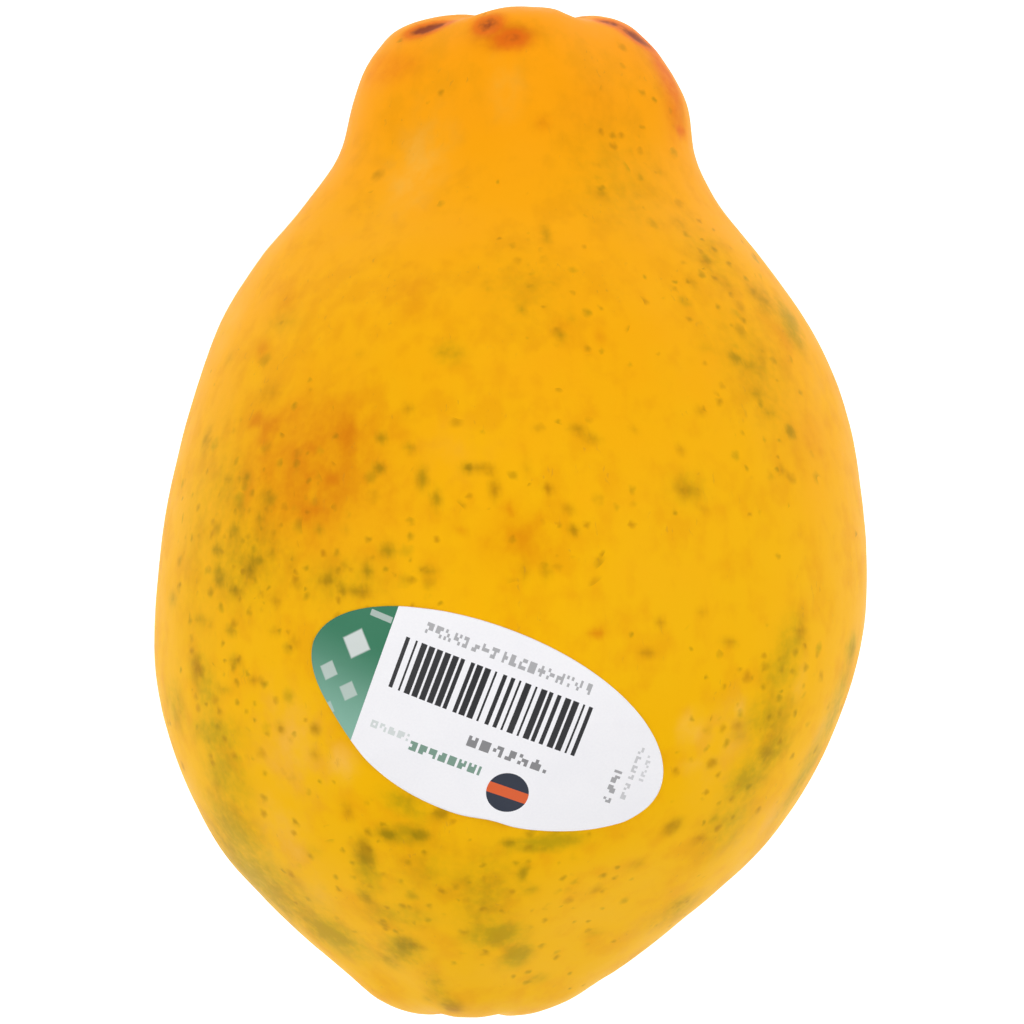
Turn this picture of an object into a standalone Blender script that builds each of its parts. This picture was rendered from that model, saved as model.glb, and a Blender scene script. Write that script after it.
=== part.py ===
"""A ripe papaya lying on its side, with the oval paper label that is stuck on its skin.

Run it with blender --background --python part.py, or from Blender's text editor.
Metres, +Z up. +Y points to the stem end and +X to the right as seen from above. The origin is
the centre of the small flat spot that the fruit rests on.
"""

import math

import bmesh
import bpy
import numpy as np
from mathutils import Matrix, Vector

MM = 0.001
LENGTH = 150 * MM

# The fruit's side outline, from the rim at the stem end to the blossom end: how far out from the
# axis the skin is, and how far along the axis it is (its station), both in millimetres.
OUTLINE_MM = (
    (0.0, 2.7),
    (4.0, 2.3),
    (7.5, 1.7),
    (11.0, 1.5),
    (14.2, 2.1),
    (17.5, 3.6),
    (20.2, 6.4),
    (24.2, 13.5),
    (26.5, 22.5),
    (30.3, 28.9),
    (37.5, 37.8),
    (43.5, 46.8),
    (48.5, 58.5),
    (51.6, 70.5),
    (52.8, 86.0),
    (51.6, 99.8),
    (47.8, 111.6),
    (40.9, 123.5),
    (28.8, 135.5),
    (18.3, 144.0),
    (13.6, 147.5),
    (9.2, 149.3),
    (5.0, 149.9),
    (0.0, 149.9),
)
REST_STATION = 80 * MM  # the section that lies on the surface below
DEPTH_RATIO = 0.955  # the fruit's height over its width

# The axis at that section is a little nearer to the surface below than the skin is to the axis,
# because the ripe flesh has settled flat there under the fruit's weight.
AXIS_HEIGHT = 48.7 * MM

# The axis bends sideways, and rises a little towards the blossom end: (station, offset) in mm.
AXIS_SIDE_MM = (
    (0, 3.4),
    (3, 0.6),
    (7, 0.3),
    (15, 1.0),
    (32, -0.1),
    (60, 0.6),
    (86, 0.1),
    (112, -1.8),
    (135, -4.3),
    (150, -5.8),
)
AXIS_RISE_MM = ((0, -7.0), (30, -4.5), (80, 0.0), (120, 3.6), (150, 6.0))

# Five soft lobes run from end to end, one of them along the top, and wind a little round the
# axis on the way: (station in mm, height as a share of the radius).
LOBES = 5
LOBE_HEIGHTS = ((0, 0.050), (14, 0.040), (30, 0.022), (60, 0.010), (100, 0.010), (130, 0.022), (150, 0.045))
LOBE_TOP = math.radians(85)
LOBE_TWIST = math.radians(10)
FURROW_NARROWNESS = 3  # of the furrows at the two ends, where 1 makes them as wide as the lobes

# Long, low swells keep the skin from being a turned surface, and fade out at both ends:
# (height, waves round, waves along, phase)
SWELLS = (
    (0.35 * MM, 2, 1.3, 0.6),
    (0.30 * MM, 3, 2.1, 2.3),
    (0.18 * MM, 4, 3.4, 4.1),
    (0.12 * MM, 7, 5.2, 1.2),
)
SWELL_FADE_RADIUS = 20 * MM

# The stem end droops, and its face leans with it, its upper edge ahead of its lower one. It has
# furrows between the lobes, and a shallow hollow with the corky pad that the stalk came off.
STEM_LEAN = math.radians(6.5)
STEM_LEAN_REACH = 14 * MM
STEM_FURROW_DEPTH = 1.1 * MM
STEM_FURROW_RADIUS = 12 * MM
STEM_FURROW_WIDTH = 5 * MM
STEM_HOLLOW_DEPTH = 1.5 * MM
STEM_HOLLOW_RADIUS = 5.6 * MM
STEM_PAD_HEIGHT = 0.9 * MM
STEM_PAD_RADIUS = 4.4 * MM
STEM_PAD_EDGE = 0.2 * MM

# The blossom end: a dimple, puckered by furrows between the lobes.
BLOSSOM_DIMPLE_DEPTH = 1.6 * MM
BLOSSOM_DIMPLE_RADIUS = 4.2 * MM
BLOSSOM_FURROW_DEPTH = 0.6 * MM
BLOSSOM_FURROW_RADIUS = 6 * MM
BLOSSOM_FURROW_WIDTH = 3.5 * MM

# The mesh of the fruit: its faces round the axis and from end to end, which are shorter towards
# the ends, where 0 would space them evenly.
SEGMENTS = 72
RINGS = 60
END_CROWDING = 0.6
NORMAL_STEP = 0.001  # of the outline, and in radians, to either side of the point

# The oval label: where its middle lies as seen from above, the size that it was cut to, and how it
# is bent to the skin, across the fruit and along it: a radius, and how its middle leans.
LABEL_CENTRE = (-4.8 * MM, -24.9 * MM)
LABEL_LENGTH = 56.6 * MM
LABEL_WIDTH = 28.2 * MM
LABEL_TURN = math.radians(-21)
LABEL_BEND_ACROSS = 50 * MM
LABEL_LEAN_ACROSS = math.radians(-5)
LABEL_BEND_ALONG = 75 * MM
LABEL_LEAN_ALONG = math.radians(-15)
LABEL_THICKNESS = 0.3 * MM
LABEL_GAP = 0.3 * MM
LABEL_CELLS = (20, 12)
LABEL_DROP_HEIGHT = 0.2  # anywhere above the fruit will do

# The oval isn't quite even: one of its four quarters is slimmer, by this share at most.
SLIMMING = 0.14
SLIM_ANGLE = math.radians(-144)
SLIM_SPREAD = math.radians(35)

# A small notch in the label's rim, where the paper has puckered.
PUCKER_DEPTH = 0.7 * MM
PUCKER_ANGLE = math.radians(-76)
PUCKER_SPREAD = math.radians(7)

SKIN_COLOUR = (0.86, 0.42, 0.02)
SKIN_ROUGHNESS = 0.42
PAPER_COLOUR = (0.86, 0.86, 0.88)
PAPER_ROUGHNESS = 0.5


def smooth(at, knots, values):
    """A smooth curve through the values at the knots, read at each place in at."""
    knots = np.asarray(knots, float)
    values = np.asarray(values, float)
    slopes = np.gradient(values, knots)
    i = np.clip(np.searchsorted(knots, at) - 1, 0, len(knots) - 2)
    span = knots[i + 1] - knots[i]
    u = (at - knots[i]) / span
    start = (1 + 2 * u) * (1 - u) ** 2 * values[i] + u * (1 - u) ** 2 * span * slopes[i]
    end = u**2 * (3 - 2 * u) * values[i + 1] + u**2 * (u - 1) * span * slopes[i + 1]
    return start + end


def at_station(station, table):
    """What a table of (station in mm, value) says at a station in metres."""
    knots, values = zip(*table)
    return smooth(station / MM, knots, values)


def side_outline(share):
    """Radius and station in metres, at a share, 0 to 1, of the way along the outline."""
    radii, stations = np.array(OUTLINE_MM).T * MM
    # Past each end the outline goes on as its own mirror image, which keeps the ends round.
    radii = np.concatenate(([-radii[1]], radii, [-radii[-2]]))
    stations = np.concatenate(([stations[1]], stations, [stations[-2]]))
    run = np.concatenate(([0], np.cumsum(np.hypot(np.diff(radii), np.diff(stations)))))
    at = run[1] + share * (run[-2] - run[1])
    return smooth(at, run, radii), smooth(at, run, stations)


def bell(value, middle, width):
    """1 at the middle, falling to 0 on both sides."""
    return np.exp(-(((value - middle) / width) ** 2))


def lobe_wave(station, angle):
    """1 on the lobes' crests and -1 in the furrows between them."""
    crest = LOBE_TOP + LOBE_TWIST * station / LENGTH
    return np.cos(LOBES * (angle - crest))


def plain_surface(share, angle):
    """Points of the skin without its relief. The angle is 0 at +X and a quarter turn at the top."""
    radius, station = side_outline(share)
    radius = radius * (1 + at_station(station, LOBE_HEIGHTS) * lobe_wave(station, angle))
    rise = radius * DEPTH_RATIO * np.sin(angle)
    lean = math.tan(STEM_LEAN) * bell(station, 0, STEM_LEAN_REACH)
    x = at_station(station, AXIS_SIDE_MM) * MM + radius * np.cos(angle)
    y = REST_STATION - station + rise * lean
    z = at_station(station, AXIS_RISE_MM) * MM + AXIS_HEIGHT + rise
    return np.stack((x, y, z), axis=-1)


def outward(share, angle):
    """Unit normals of the plain surface."""
    share = np.clip(share, NORMAL_STEP, 1 - NORMAL_STEP)
    along = plain_surface(share + NORMAL_STEP, angle) - plain_surface(share - NORMAL_STEP, angle)
    across = plain_surface(share, angle + NORMAL_STEP) - plain_surface(share, angle - NORMAL_STEP)
    normal = np.cross(across, along)
    return normal / np.linalg.norm(normal, axis=-1, keepdims=True)


def relief(share, angle):
    """How far the skin stands out of the plain surface: the swells, and what is at either end."""
    radius, station = side_outline(share)
    swell = sum(
        height * np.sin(around * angle + phase) * np.sin(math.tau * along * station / LENGTH + phase)
        for height, around, along, phase in SWELLS
    )
    swell = swell * np.clip(radius / SWELL_FADE_RADIUS, 0, 1) ** 2
    furrow = ((1 - lobe_wave(station, angle)) / 2) ** FURROW_NARROWNESS

    hollow = STEM_HOLLOW_DEPTH * bell(radius, 0, STEM_HOLLOW_RADIUS)
    pad = STEM_PAD_HEIGHT / (1 + np.exp((radius - STEM_PAD_RADIUS) / STEM_PAD_EDGE))
    stem_furrow = STEM_FURROW_DEPTH * furrow * bell(radius, STEM_FURROW_RADIUS, STEM_FURROW_WIDTH)

    dimple = BLOSSOM_DIMPLE_DEPTH * bell(radius, 0, BLOSSOM_DIMPLE_RADIUS)
    fold = BLOSSOM_FURROW_DEPTH * furrow * bell(radius, BLOSSOM_FURROW_RADIUS, BLOSSOM_FURROW_WIDTH)
    return swell + np.where(station < REST_STATION, pad - hollow - stem_furrow, -dimple - fold)


def fruit_surface(share, angle):
    """Points of the skin, which lies flat on the surface below."""
    points = plain_surface(share, angle) + outward(share, angle) * relief(share, angle)[..., None]
    points[..., 2] = np.maximum(points[..., 2], 0)
    return points


def material(name, colour, roughness):
    made = bpy.data.materials.new(name)
    made.use_nodes = True
    shader = made.node_tree.nodes["Principled BSDF"]
    shader.inputs["Base Color"].default_value = (*colour, 1)
    shader.inputs["Roughness"].default_value = roughness
    shader.inputs["Metallic"].default_value = 0
    return made


def add_object(name, bm, finish, collection):
    """A smooth object made of a bmesh, with one material."""
    mesh = bpy.data.meshes.new(name)
    bm.to_mesh(mesh)
    bm.free()
    mesh.materials.append(finish)
    mesh.shade_smooth()
    made = bpy.data.objects.new(name, mesh)
    collection.objects.link(made)
    return made


def make_fruit(collection):
    """A sphere with its poles at the fruit's two ends, moved onto the fruit's surface."""
    bm = bmesh.new()
    poles_along_y = Matrix.Rotation(math.radians(-90), 4, "X")
    bmesh.ops.create_uvsphere(bm, u_segments=SEGMENTS, v_segments=RINGS, radius=1, matrix=poles_along_y)
    x, y, z = np.array([vertex.co for vertex in bm.verts]).T
    even = np.arccos(np.clip(y, -1, 1)) / math.pi
    share = even - END_CROWDING * np.sin(math.tau * even) / math.tau
    for vertex, point in zip(bm.verts, fruit_surface(share, np.arctan2(z, x))):
        vertex.co = point
    skin = material("papaya_skin", SKIN_COLOUR, SKIN_ROUGHNESS)
    return add_object("papaya_fruit", bm, skin, collection)


def bent(distance, lean, radius):
    """How long a distance on the flat label looks from above, once the label is bent."""
    return radius * (math.sin(lean + distance / radius) - math.sin(lean))


def rim_bell(x, y, angle, spread):
    """1 in one direction from the label's middle, falling to 0 on both sides of it."""
    return bell(math.remainder(math.atan2(y, x) - angle, math.tau), 0, spread)


def label_point(x, y):
    """Where a point of the square from -1 to 1 goes on the oval label, as seen from above."""
    x, y = x * math.sqrt(1 - y**2 / 2), y * math.sqrt(1 - x**2 / 2)
    outness = math.hypot(x, y)
    fullness = 1 - SLIMMING * rim_bell(x, y, SLIM_ANGLE, SLIM_SPREAD) * outness**2
    pucker = PUCKER_DEPTH * rim_bell(x, y, PUCKER_ANGLE, PUCKER_SPREAD) * outness**4
    flat = Vector((x * LABEL_LENGTH / 2, y * (LABEL_WIDTH / 2 - pucker))) * fullness
    flat.rotate(Matrix.Rotation(LABEL_TURN, 2))
    across = bent(flat.x, LABEL_LEAN_ACROSS, LABEL_BEND_ACROSS)
    along = bent(flat.y, LABEL_LEAN_ALONG, LABEL_BEND_ALONG)
    return Vector(LABEL_CENTRE) + Vector((across, along))


def make_label(fruit, collection):
    """A flat oval laid on the skin from above, with its thickness on its outer side."""
    bm = bmesh.new()
    bmesh.ops.create_grid(bm, x_segments=LABEL_CELLS[0], y_segments=LABEL_CELLS[1], size=1)
    for vertex in bm.verts:
        vertex.co.xy = label_point(vertex.co.x, vertex.co.y)
    paper = material("label_paper", PAPER_COLOUR, PAPER_ROUGHNESS)
    label = add_object("produce_label", bm, paper, collection)
    label.location.z = LABEL_DROP_HEIGHT

    laid = label.modifiers.new("laid on the skin", "SHRINKWRAP")
    laid.target = fruit
    laid.wrap_method = "PROJECT"
    laid.wrap_mode = "ABOVE_SURFACE"
    laid.use_project_z = True
    laid.use_positive_direction = False
    laid.use_negative_direction = True
    laid.offset = LABEL_GAP

    thick = label.modifiers.new("paper thickness", "SOLIDIFY")
    thick.thickness = LABEL_THICKNESS
    thick.offset = 1


def main():
    for old in list(bpy.data.objects):
        bpy.data.objects.remove(old)
    collection = bpy.data.collections.new("Papaya")
    bpy.context.scene.collection.children.link(collection)
    fruit = make_fruit(collection)
    make_label(fruit, collection)


main()
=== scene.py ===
"""The looks of a ripe papaya that lies on its side: its skin with freckles, bruises and a blush,
the corky scar at its stem end, the pucker at its blossom end, and the printed paper label.

Metres, +Z up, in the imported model's frame: +Y points to the stem end, +X to the right as seen from
above, and the origin is the centre of the flat spot that the fruit rests on.
"""

import math

import bmesh
import bpy
import numpy as np
from mathutils import Matrix, Vector, noise


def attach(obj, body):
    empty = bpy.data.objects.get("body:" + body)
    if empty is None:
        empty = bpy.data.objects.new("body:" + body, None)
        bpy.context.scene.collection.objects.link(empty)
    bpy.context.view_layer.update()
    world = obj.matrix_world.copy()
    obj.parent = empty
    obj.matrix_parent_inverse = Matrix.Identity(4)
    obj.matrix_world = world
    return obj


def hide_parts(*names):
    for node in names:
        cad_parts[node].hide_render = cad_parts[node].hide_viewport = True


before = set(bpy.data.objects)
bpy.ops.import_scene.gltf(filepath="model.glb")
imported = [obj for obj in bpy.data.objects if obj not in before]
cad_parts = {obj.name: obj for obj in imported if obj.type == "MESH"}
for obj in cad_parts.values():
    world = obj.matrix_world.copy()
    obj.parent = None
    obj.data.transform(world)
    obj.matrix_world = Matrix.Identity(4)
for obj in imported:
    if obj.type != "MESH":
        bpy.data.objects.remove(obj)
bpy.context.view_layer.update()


def srgb(*levels):
    """A colour given as screen levels, 0 to 255, in the linear values that shaders take."""
    shares = [level / 255 for level in levels]
    linear = [c / 12.92 if c <= 0.04045 else ((c + 0.055) / 1.055) ** 2.4 for c in shares]
    return (*linear, 1)


MM = 0.001

# The picture: straight down on the fruit, with a long lens. A pixel of it covers 0.149 mm at the
# height of the fruit's axis.
PICTURE_PIXELS = 1024
PIXEL = 0.149 * MM
FRAME_CENTRE = np.array((0.0, 4.7)) * MM
LENS = 200
SENSOR = 36
CAMERA_DISTANCE = PIXEL * PICTURE_PIXELS * LENS / SENSOR
CAMERA_FAR_LIMIT = 10

# The fruit's form

LENGTH = 150 * MM

# The side outline, from the rim at the stem end to the blossom end: how far out from the axis the
# skin is, and how far along the axis it is (its station), both in millimetres.
OUTLINE_MM = (
    (0.0, 2.7),
    (4.0, 2.3),
    (7.5, 1.7),
    (11.0, 1.5),
    (14.2, 2.1),
    (17.5, 3.6),
    (20.2, 6.4),
    (24.2, 13.5),
    (26.5, 22.5),
    (30.3, 28.9),
    (37.5, 37.8),
    (43.5, 46.8),
    (48.5, 58.5),
    (51.6, 70.5),
    (52.8, 86.0),
    (51.6, 99.8),
    (47.8, 111.6),
    (40.9, 123.5),
    (28.8, 135.5),
    (18.3, 144.0),
    (13.6, 147.5),
    (9.2, 149.3),
    (5.0, 149.9),
    (0.0, 149.9),
)
REST_STATION = 80 * MM  # the section that lies on the floor
DEPTH_RATIO = 0.955  # the fruit's height over its width
AXIS_HEIGHT = 48.7 * MM  # above the floor, at that section

# The axis bends sideways, and rises a little towards the blossom end: (station, offset) in mm.
AXIS_SIDE_MM = (
    (0, 3.4),
    (3, 0.6),
    (7, 0.3),
    (15, 1.0),
    (32, -0.1),
    (60, 0.6),
    (86, 0.1),
    (112, -1.8),
    (135, -4.3),
    (150, -5.8),
)
AXIS_RISE_MM = ((0, -7.0), (30, -4.5), (80, 0.0), (120, 3.6), (150, 6.0))

# Five soft lobes run from end to end: (station in mm, height as a share of the radius).
LOBES = 5
LOBE_HEIGHTS = (
    (0, 0.050),
    (14, 0.040),
    (30, 0.022),
    (60, 0.010),
    (100, 0.010),
    (130, 0.022),
    (150, 0.045),
)
LOBE_TOP = math.radians(85)
LOBE_TWIST = math.radians(10)
FURROW_NARROWNESS = 3  # of the furrows at the two ends

# Long, low swells: (height, waves round, waves along, phase)
SWELLS = (
    (0.35 * MM, 2, 1.3, 0.6),
    (0.30 * MM, 3, 2.1, 2.3),
    (0.18 * MM, 4, 3.4, 4.1),
    (0.12 * MM, 7, 5.2, 1.2),
)
SWELL_FADE_RADIUS = 20 * MM

STEM_LEAN = math.radians(6.5)
STEM_LEAN_REACH = 14 * MM
STEM_FURROW_DEPTH = 1.1 * MM
STEM_FURROW_RADIUS = 12 * MM
STEM_FURROW_WIDTH = 5 * MM
STEM_HOLLOW_DEPTH = 1.5 * MM
STEM_HOLLOW_RADIUS = 5.6 * MM
STEM_PAD_HEIGHT = 0.9 * MM
STEM_PAD_RADIUS = 4.4 * MM
STEM_PAD_EDGE = 0.2 * MM
BLOSSOM_DIMPLE_DEPTH = 1.6 * MM
BLOSSOM_DIMPLE_RADIUS = 4.2 * MM
BLOSSOM_FURROW_DEPTH = 0.6 * MM
BLOSSOM_FURROW_RADIUS = 6 * MM
BLOSSOM_FURROW_WIDTH = 3.5 * MM

# What the fine skin adds to that form. It lies a little inside the plain one, so that its lumps
# stay within the plain one's size.
SKIN_INSET = 0.16 * MM
LUMP_SIZE = 9 * MM
LUMP_HEIGHT = 0.10 * MM
LUMP_LAYERS = 4
LUMP_LAYER_RATIO = 2  # each layer is this much finer and lower than the one before

PAD_CRACKS = 9
PAD_CRACK_WANDER = (2, 3)  # how far they stray, as an angle in their wave, and how often in a turn
PAD_CRACK_NARROWNESS = 3
PAD_CRACK_DEPTH = 0.22 * MM
PAD_CORE_DEPTH = 0.5 * MM
PAD_CORE_RADIUS = 1.1 * MM
PAD_RIM_HEIGHT = 0.18 * MM
PAD_RIM_WIDTH = 0.4 * MM

COLLAR_WRINKLES = 23
COLLAR_WANDER = (3, 2)
COLLAR_WRINKLE_HEIGHT = 0.10 * MM
COLLAR_RADIUS = 7.0 * MM
COLLAR_WIDTH = 2.0 * MM

CREASE_DEPTH = 0.5 * MM
CREASE_NARROWNESS = 16
CREASE_RADIUS = 3.2 * MM
CREASE_WIDTH = 2.2 * MM
NUB_HEIGHT = 0.8 * MM
NUB_RADIUS = 0.9 * MM

SEGMENTS = 440
RINGS = 220
END_CROWDING = 0.6
NORMAL_STEP = 0.001  # between the points that a normal is worked out from
FLATTEST_VIEW = 0.3  # how far up the skin faces where marks are placed, at least
OUTLINE_SAMPLES = 2000  # for the length along the skin

# Marks on the skin. Each is (x, y, reach round the fruit, reach along it, lean, strength), in
# millimetres as the camera sees them, with the lean in degrees.

BLUSHES = (
    (-31, 11, 13, 13, 0, 0.62),
    (-27, 20, 8, 5, 0, 0.40),
    (-38, 8, 5, 8, 0, 0.40),
    (-24.7, 15.4, 2.4, 5.0, 0, 0.80),
    (-36.1, 16.3, 2.4, 2.6, 30, 0.85),
    (-38.3, 18.6, 1.6, 1.6, 20, 0.85),
    (-29.9, 13.9, 2.2, 1.4, 0, 0.85),
    (-30.5, 5.0, 5, 4, 0, 0.75),
    (-26.8, 9.5, 1.6, 1.0, 0, 0.9),
    (-14.5, 37, 4, 4, 20, 0.35),
    (-34, 36, 4, 3, 0, 0.30),
    (-37.3, 28.8, 1.4, 1.8, 0, 0.45),
    (1.2, -0.2, 7, 5, 20, 0.45),
    (-0.7, 4.8, 1.0, 1.6, 0, 0.60),
    (-7.7, 1.7, 1.2, 0.8, 0, 0.50),
    (12.6, -13.7, 2.2, 0.9, 25, 0.70),
    (8.0, 32, 2.5, 2, 0, 0.35),
    (12.8, 30.3, 1.1, 1.5, 0, 0.50),
    (44.4, 15.4, 5, 6, 0, 0.32),
    (40.7, 29.6, 3, 3, 0, 0.30),
    (4.6, 63.2, 1.6, 1.4, 30, 0.50),
    (13, 66, 7, 5, 0, 0.25),
    (22.6, 70.5, 3.0, 6, -20, 0.40),
    (25.2, 64.5, 1.4, 3, 0, 0.45),
    (-18, 71.5, 6, 4.0, 0, 0.20),
    (-1.5, 75.6, 5.0, 2.0, 0, 0.95),
)
# Olive patches of the skin, and with them some painted shade: the rows marked below.
OLIVE_PATCHES_AND_PAINTED_SHADE = (
    (-27.1, -57.9, 4.4, 3.2, -35, 0.90),
    (-2.5, -58.3, 4.4, 2.2, 0, 1.0),
    (0.6, -61.2, 2.4, 2.2, 0, 0.90),
    (5.2, -44.6, 5.6, 1.4, 6, 1.0),
    (-38, -50, 5, 6, 0, 0.80),
    (-41, -43, 4, 6, 0, 0.75),
    (-43, -35, 3.4, 6, 0, 0.65),
    (-44.3, -27.8, 4, 3, 0, 0.80),
    (-45.5, -22, 2, 4, 0, 0.70),
    (-46.6, -18, 2, 3, 0, 0.60),
    (-50.2, -24, 1.8, 4, 0, 0.55),
    # This long one is partly the flank's olive tone and partly painted shade that darkens the left
    # flank.
    (-46, 2, 5, 22, 0, 0.30),
    (-16.7, -43.4, 4.4, 1.7, 0, 0.75),
    (-17.4, -55.3, 6, 2.0, 0, 0.55),
    (-16.5, -60.6, 3.6, 2.4, 30, 0.75),
    (-15.5, -38.4, 4, 1.8, -28, 0.75),
    (-21.7, -48.5, 2, 4.5, 0, 0.65),
    (-4, -52.4, 5, 8, 0, 0.50),
    (-12, -49, 8, 8, 0, 0.30),
    (-11.5, -66, 2, 3, 0, 0.50),
    (41.5, -14.5, 2.4, 4.6, -15, 0.60),
    (40.2, -19.4, 3, 4.2, -15, 0.60),
    (38.2, -25.3, 4.4, 4, 0, 0.60),
    (38.2, -31.1, 3.4, 3, 30, 0.75),
    (35.3, -35, 3.2, 3.8, 30, 0.80),
    (32.5, -42, 4, 5, 20, 0.50),
    # These three are painted shade along the right rim, in an olive tone.
    (48.6, -24.8, 1.4, 6, 0, 0.65),
    (45.1, -33, 1.4, 6, 0, 0.65),
    (51.4, -15.1, 1.0, 2.2, 0, 0.80),
    (24.8, -54.5, 3, 2, 30, 0.45),
    (41.6, 32.8, 1.6, 2.8, -20, 0.80),
    (37.5, 36.5, 3, 2.8, -30, 0.40),
    (29.3, 43.4, 4.5, 6, 0, 0.34),
    (36.5, 26, 7, 11, 0, 0.34),
    (26.5, 7.5, 3.2, 2.6, 0, 0.50),
    (-9.3, 28.8, 2.6, 1.8, 0, 0.50),
    (-40, -3, 7, 8, 0, 0.50),
    (-43, 8, 4, 7, 0, 0.40),
    (-26, -6, 8, 4, 0, 0.40),
    (-34, 33, 4, 2, 0, 0.30),
    (16, 54, 8, 9, 0, 0.32),
    (2, 38, 8, 8, 0, 0.28),
)
# Painted sheen: pale peach patches that stand for highlights on the flanks and rims, and for the
# light band on a lobe's crest at the neck.
PAINTED_SHEEN_PATCHES = (
    (26.5, -27, 2.6, 3.4, 0, 0.55),
    (26.8, -33.5, 3, 2, 0, 0.40),
    (34, -25, 1.3, 1.8, 0, 0.60),
    (43, -20.5, 1.6, 4, 0, 0.40),
    (46.9, -27, 1.8, 5, 0, 0.45),
    (38.5, -41, 2.4, 3.4, 20, 0.50),
    (-25.6, -33, 3, 3.6, 0, 0.60),
    (-31.5, -29, 3, 4, 0, 0.40),
    (-33, -21, 2, 3, 0, 0.20),
    (-42, 33, 2, 5, 0, 0.35),
    (45.5, 24, 2, 5, 0, 0.30),
    (-14, 56, 6, 9, 0, 0.40),
    (-1, 68, 4, 7, 0, 0.30),
    (-33, -30, 8, 11, 0, 0.42),
    (-34, -44, 5, 8, -20, 0.42),
    (-29, -51, 3, 5, -20, 0.35),
    (31, -30, 6, 10, 0, 0.36),
    (36, -42, 5, 6, 20, 0.36),
    (26, -58, 6, 5, 0, 0.30),
    (-8, 14, 9, 7, 0, 0.22),
)
BRUISES = (
    (-12.6, 76.8, 2.6, 1.0, 20, 1.1),
    (-3.6, 77.4, 2.1, 1.5, 0, 0.85),
    (-0.4, 75.0, 3.0, 1.6, 0, 0.55),
    (15.0, 77.8, 1.8, 0.7, -12, 0.8),
    (18.9, 75.4, 1.6, 1.0, -40, 0.85),
    (22.8, 70.5, 1.3, 6.0, -20, 0.36),
    (-18.5, 70.5, 5, 3, 0, 0.20),
    (25.2, 61.3, 1.0, 1.2, 0, 0.40),
)

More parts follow.
